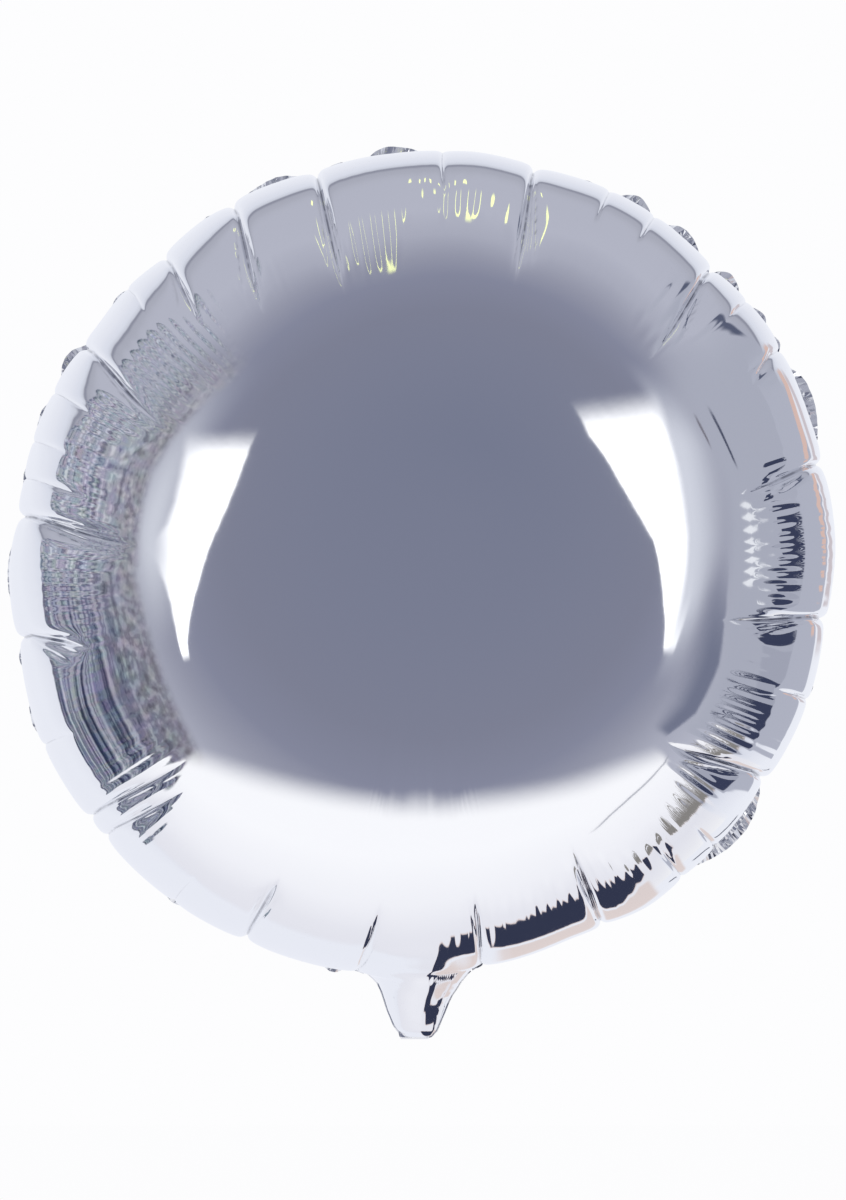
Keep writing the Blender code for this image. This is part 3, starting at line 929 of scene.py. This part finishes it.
# The floor's paint by how far back it is, in metres, with a painted soft shadow under the balloon and just
# behind it
FLOOR_STOPS = (
    (-0.45, "#FBFBFD"), (-0.12, "#F3F3F7"), (0.1, "#E8E8EE"), (0.35, "#E3E3EA"), (1.2, "#F4F4F5"),
)


def mirrored_direction(angle, share, film, stage):
    """Unit direction, from the balloon's centre, of what the smooth film mirrors to the
    camera at this place, at the distance of the cards."""
    shares = np.linspace(0, 1, 4001)
    reach = film.rim_radius * shares * oval(shares, angle, film)
    depths = smooth_depth(np.degrees(np.arcsin(shares**2)), film.rim_radius)
    seen = reach * stage.camera_distance / (stage.camera_distance - depths)
    place = np.interp(share * PHOTO_RADIUS, seen, shares)
    turn, lean = math.radians(angle), math.asin(place**2)
    outward, front = Vector((math.sin(turn), 0, math.cos(turn))), Vector((0, -1, 0))
    point = outward * np.interp(place, shares, reach) + front * np.interp(place, shares, depths)
    camera = Vector((0, -stage.camera_distance, stage.camera_height))
    ray = (point - camera).normalized().reflect(outward * math.sin(lean) + front * math.cos(lean))
    along = point.dot(ray)
    far = math.sqrt(along**2 + stage.card_distance**2 - point.length_squared) - along
    return (point + ray * far).normalized()


def card_edges(rows):
    """The places along a card's first edge and along its second, from its rows."""
    first = [row[:2] for row in rows]
    second = [(row[-2] if len(row) > 3 else row[0], row[-1]) for row in rows]
    return first, second


def build_card(name, material, first, second, distance=None):
    """A lit card between two edges, seen by reflections alone; bent round the balloon at
    this distance, or flat."""
    steps, columns = len(first), 9
    points, coordinates = [], []
    for k in range(steps):
        near, far = Vector(first[k]), Vector(second[k])
        for c in range(columns):
            t = c / (columns - 1)
            place = near.lerp(far, t)
            if distance:
                place *= distance / place.length
            points.append(place)
            coordinates.append((t, k / (steps - 1)))
    obj = mesh_object(name, np.array(points), grid_faces(steps, columns, False), material)
    layer = obj.data.uv_layers.new(name="card")
    for loop in obj.data.loops:
        layer.data[loop.index].uv = coordinates[loop.vertex_index]
    obj.visible_camera = False
    obj.visible_shadow = False


def build_cards(film, stage):
    """Every card round the balloon and on the floor; each stands clear of the one before
    it, so later ones cover it."""
    for k, (name, colour, strength, blur, rows) in enumerate(CARDS):
        edges = [
            [mirrored_direction(*place, film, stage) for place in edge] for edge in card_edges(rows)
        ]
        pleats = CLOTH_PLEATS if name == "left_cloth" else 0
        material = card_material(name, colour, strength, blur, pleats=pleats)
        build_card(name, material, *edges, stage.card_distance - CARD_SPACING * k)
    for k, (name, colour, trim, blur, rows) in enumerate(FLOOR_CARDS):
        height = FLOOR_CARD_SPACING * (k + 1) - stage.floor_drop
        edges = [[(x, y, height) for x, y in edge] for edge in card_edges(rows)]
        build_card(name, card_material(name, colour, 1.0, blur, trim), *edges)


def build_world(settings):
    """Pale to the camera; to the mirror, a dim room in front and a white backdrop behind."""
    world = bpy.data.worlds.new("studio")
    world.use_nodes = True
    tree = world.node_tree
    tree.nodes.clear()
    output = tree.nodes.new("ShaderNodeOutputWorld")
    place = add_node(tree, "TexCoord").outputs["Generated"]
    shares, shades = [], []
    for axis, stops in ((ROOM_AXIS, ROOM_STOPS), (BACKDROP_AXIS, BACKDROP_STOPS)):
        along = add_node(tree, "VectorMath", operation="DOT_PRODUCT", i0=place, i1=axis)
        turned = add_node(tree, "Math", operation="ARCCOSINE", i0=along.outputs["Value"])
        share = add_node(tree, "Math", operation="DIVIDE", i0=turned, i1=math.pi)
        stops = [(angle / 180, colour) for angle, colour in stops]
        shares.append(share)
        shades.append(add_node(tree, "ValToRGB", stops=stops, i0=share))
    behind = add_node(tree, "MapRange", i0=shares[1], i1=96 / 180, i2=104 / 180)
    room = add_node(tree, "Mix", data_type="RGBA", i0=behind, i6=shades[0], i7=shades[1])
    pale = linear("#FDFDFE")
    seen = add_node(tree, "Background", Color=pale, Strength=settings.background_light)
    mirrored = add_node(tree, "Background", Color=room.outputs[2], Strength=settings.room_light)
    rays = add_node(tree, "LightPath")
    mixed = add_node(tree, "MixShader", i0=rays.outputs["Is Camera Ray"], i1=mirrored, i2=seen)
    tree.links.new(mixed.outputs[0], output.inputs["Surface"])
    bpy.context.scene.world = world


def build_floor(settings):
    """Plain pale floor, with a brighter square under the balloon that the film mirrors."""
    material, tree, surface = new_material("painted_floor")
    place = add_node(tree, "TexCoord")
    x, y = add_node(tree, "SeparateXYZ", Vector=place.outputs["Object"]).outputs[:2]
    # The square's front edge bows out towards the camera
    across = add_node(tree, "Math", operation="ADD", i0=x, i1=0.15)
    bow = add_node(tree, "Math", operation="POWER", i0=across, i1=2.0)
    front = add_node(tree, "Math", operation="MULTIPLY_ADD", i0=bow, i1=-0.33, i2=y)
    # and its back edge slants away on the right
    right = add_node(tree, "Math", operation="MAXIMUM", i0=x, i1=0.0)
    back = add_node(tree, "Math", operation="MULTIPLY_ADD", i0=right, i1=-0.9, i2=y)
    left_side, right_side = (x, -0.93, 0.06), (x, 0.96, -0.06)
    cover = faded_cover(tree, (left_side, right_side, (front, -1.09, 0.34), (back, 0.32, -0.10)))
    seen = add_node(tree, "LightPath").outputs["Is Camera Ray"]
    shown = add_node(tree, "Math", operation="MAXIMUM", i0=cover, i1=seen)
    # Soft shade under the balloon and behind it
    near, span = -0.5, 3.5
    shade = add_node(tree, "MapRange", i0=y, i1=near, i2=near + span)
    stops = [((place_y - near) / span, colour) for place_y, colour in FLOOR_STOPS]
    paint = add_node(tree, "ValToRGB", stops=stops, i0=shade)
    glow = add_node(tree, "Emission", Color=paint, Strength=1.08)
    clear = add_node(tree, "BsdfTransparent")
    mixed = add_node(tree, "MixShader", i0=shown, i1=clear, i2=glow)
    tree.links.new(mixed.outputs[0], surface)
    reach = 4.5
    points = np.array([(-reach, -reach, 0), (reach, -reach, 0), (reach, reach, 0), (-reach, reach, 0)])
    floor = mesh_object("floor", points, [(0, 1, 2, 3)], material)
    floor.location.z = -settings.floor_drop


def build_camera(settings):
    """Camera level with the photograph's middle, straight in front."""
    data = bpy.data.cameras.new("camera")
    data.lens = data.sensor_width * settings.camera_distance / settings.frame_height
    camera = bpy.data.objects.new("camera", data)
    camera.location = (0, -settings.camera_distance, settings.camera_height)
    camera.rotation_euler = (math.pi / 2, 0, 0)
    bpy.context.scene.collection.objects.link(camera)
    bpy.context.scene.camera = camera


# Add-on


def length(name, default, description):
    """A setting in metres."""
    return FloatProperty(name=name, description=description, default=default, unit="LENGTH")


def number(name, default, description):
    """A setting without a unit."""
    return FloatProperty(name=name, description=description, default=default)


def colour(name, hex_colour, description):
    """A setting that is a colour."""
    return FloatVectorProperty(
        name=name,
        description=description,
        subtype="COLOR",
        default=linear(hex_colour)[:3],
        min=0,
        max=1,
    )


class FilmSettings(bpy.types.PropertyGroup):
    rim_radius: length("Rim radius", 0.1785, "From the centre to where the lobes stand fullest")
    oval_share: number("Oval share", 0.015, "How oval the circle is")
    oval_angle: number("Oval angle", 50.0, "Direction in which it is widest, degrees")
    groove_depth: length("Groove depth", 0.005, "How far the weld sinks in between the lobes")
    groove_half_width: length(
        "Groove half width", 0.007, "From the weld to where the groove has nearly gone"
    )
    neck_pleat: number(
        "Neck pleats", 0.014, "How far the pleats on the neck's side stand out, as a share of its depth"
    )
    crease_strength: number("Crease strength", 1.0, "Depth of the creases, 1 as measured")
    fold_height: length("Fold height", 0.0008, "Height of the small folds inside a lobe")
    wave_height: length("Wave height", 0.0002, "Height of the film's slow unevenness")
    flange_thickness: length("Flange thickness", 0.0003, "Thickness of the welded layers")
    hem_thickness: length("Hem thickness", 0.0012, "Thickness of the hem across the neck's end")
    hem_middle: length(
        "Hem middle", -0.0036, "How far to the side the middle of the neck's end stands"
    )
    film_colour: colour("Film colour", "#F3F4F7", "Colour that the mirror gives back")
    film_roughness: number("Film roughness", 0.045, "How hazy the mirror is")
    weld_colour: colour("Weld colour", "#E6E7EA", "Colour of the welded flange")
    weld_roughness: number("Weld roughness", 0.16, "How dull the flange is")
    knurl_pitch: length(
        "Knurl pitch", 0.0014, "From one line of the weld's crossed pattern to the next"
    )


class StageSettings(bpy.types.PropertyGroup):
    camera_distance: length("Camera distance", 2.0, "From the balloon's centre to the camera")
    camera_height: length("Camera height", -0.0159, "Above the balloon's centre")
    frame_height: length("Frame height", 0.516, "What the picture's height shows at the balloon")
    floor_drop: length("Floor drop", 0.75, "From the balloon's centre down to the floor")
    card_distance: length("Card distance", 3.0, "From the balloon to the soft boxes and cards")
    background_light: number("Background light", 1.0, "Strength of the pale background")
    room_light: number("Room light", 1.1, "Strength of what the film mirrors")


class BALLOON_OT_film_panels(bpy.types.Operator):
    """Build the front and back film panels with the neck"""

    bl_idname = "balloon.film_panels"
    bl_label = "Film panels"

    def execute(self, context):
        settings = context.scene.balloon_film
        material = metallised_film(settings)
        # On the back each crease runs in as far as the next one does on the front
        behind = tuple(
            (row[0], row[0] + gap_between(after[1], after[0]) * 0.6, after[2], *row[3:])
            for row, after in zip(CREASES, CREASES[1:] + CREASES[:1])
        )
        sides = (
            (-1, "front_film", with_fine_creases(CREASES, FRONT_CREASE_SEED)),
            (1, "back_film", with_fine_creases(behind, BACK_CREASE_SEED)),
        )
        for side, name, creases in sides:
            panel = build_film_panel(name, side, creases, PANEL_SEED + side, material, settings)
            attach(panel, "root")
            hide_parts(name + "_panel")
        return {"FINISHED"}


class BALLOON_OT_rim_flange(bpy.types.Operator):
    """Build the welded flange round the rim and along the neck"""

    bl_idname = "balloon.rim_flange"
    bl_label = "Welded flange"

    def execute(self, context):
        settings = context.scene.balloon_film
        material = welded_film(settings)
        round_rim = np.arange(NECK_END - 360, NECK_START + 0.01, 0.36)
        edge = np.linalg.norm(rim_line(round_rim, settings), axis=1)
        widths = np.maximum(flange_reach(round_rim, settings) - edge, 0.001)
        round_neck = np.arange(NECK_START, NECK_END + 0.01, 0.2)
        narrow = np.full(len(round_neck), 0.0005)
        # Name, node, angles, widths, height of its crumples, lean, how radial, and seed
        stretches = (
            ("rim_flange", "rim_weld", round_rim, widths, 0.0036, 0.85, 1.0, 5),
            ("neck_flange", "neck_weld", round_neck, narrow, 0.0001, 1.3, 0.0, 6),
        )
        for name, node, angles, widths, ruffle, lean, radial, seed in stretches:
            flange = build_flange(
                name, angles, widths, ruffle, lean, radial, material, settings, seed
            )
            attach(flange, "root")
            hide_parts(node)
        return {"FINISHED"}


class BALLOON_OT_neck_hem(bpy.types.Operator):
    """Build the flat hem welded across the end of the neck"""

    bl_idname = "balloon.neck_hem"
    bl_label = "Neck end hem"

    def execute(self, context):
        settings = context.scene.balloon_film
        across = np.linspace(-1, 1, HEM_COLUMNS)
        rows = []
        for side in (-1, 1):
            for t in np.linspace(0, 1, HEM_ROWS):
                # Rounded lower corners, and edges that thin out
                reach = HEM_HALF_WIDTH * (1 - 0.16 * (1 - t) ** 3)
                thick = settings.hem_thickness / 2 * np.sqrt(np.clip(1 - np.abs(across) ** 8, 0, 1))
                thick = thick * math.sqrt(max(1 - abs(1 - 2 * t) ** 6, 0))
                ripple = HEM_RIPPLE * np.sin(across * 40 + side)
                x = settings.hem_middle + across * reach
                depth = side * (thick + ripple * (thick > 0))
                height = np.full(HEM_COLUMNS, HEM_LOW + (HEM_HIGH - HEM_LOW) * t)
                rows.append(np.stack((x, depth, height), -1))
        points = np.concatenate(rows)
        faces = [face[::-1] for face in grid_faces(HEM_ROWS, HEM_COLUMNS, False)]
        behind = HEM_ROWS * HEM_COLUMNS
        faces += [tuple(behind + corner for corner in face[::-1]) for face in faces]
        hem = mesh_object("neck_end_hem", points, faces, welded_film(settings))
        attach(hem, "root")
        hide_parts("neck_end_seal")
        return {"FINISHED"}


class BALLOON_OT_stage(bpy.types.Operator):
    """Build the floor, the lit cards, the background and the camera"""

    bl_idname = "balloon.stage"
    bl_label = "Stage"

    def execute(self, context):
        settings = context.scene.balloon_stage
        build_world(settings)
        build_floor(settings)
        build_cards(context.scene.balloon_film, settings)
        build_camera(settings)
        context.scene.view_settings.view_transform = "Standard"
        return {"FINISHED"}


class BALLOON_PT_panel(bpy.types.Panel):
    bl_idname = "BALLOON_PT_panel"
    bl_label = "Round foil balloon"
    bl_space_type = "VIEW_3D"
    bl_region_type = "UI"
    bl_category = "Balloon"

    def draw(self, context):
        layout = self.layout
        for group in (context.scene.balloon_film, context.scene.balloon_stage):
            box = layout.box()
            for name in group.__annotations__:
                box.prop(group, name)
        for operator in OPERATORS:
            layout.operator(operator.bl_idname)


OPERATORS = (
    BALLOON_OT_film_panels,
    BALLOON_OT_rim_flange,
    BALLOON_OT_neck_hem,
    BALLOON_OT_stage,
)
CLASSES = (FilmSettings, StageSettings, *OPERATORS, BALLOON_PT_panel)


def register():
    for item in CLASSES:
        bpy.utils.register_class(item)
    bpy.types.Scene.balloon_film = PointerProperty(type=FilmSettings)
    bpy.types.Scene.balloon_stage = PointerProperty(type=StageSettings)


def unregister():
    del bpy.types.Scene.balloon_stage
    del bpy.types.Scene.balloon_film
    for item in reversed(CLASSES):
        bpy.utils.unregister_class(item)


def main():
    register()
    bpy.ops.balloon.film_panels()
    bpy.ops.balloon.rim_flange()
    bpy.ops.balloon.neck_hem()
    bpy.ops.balloon.stage()


if __name__ == "__main__":
    main()
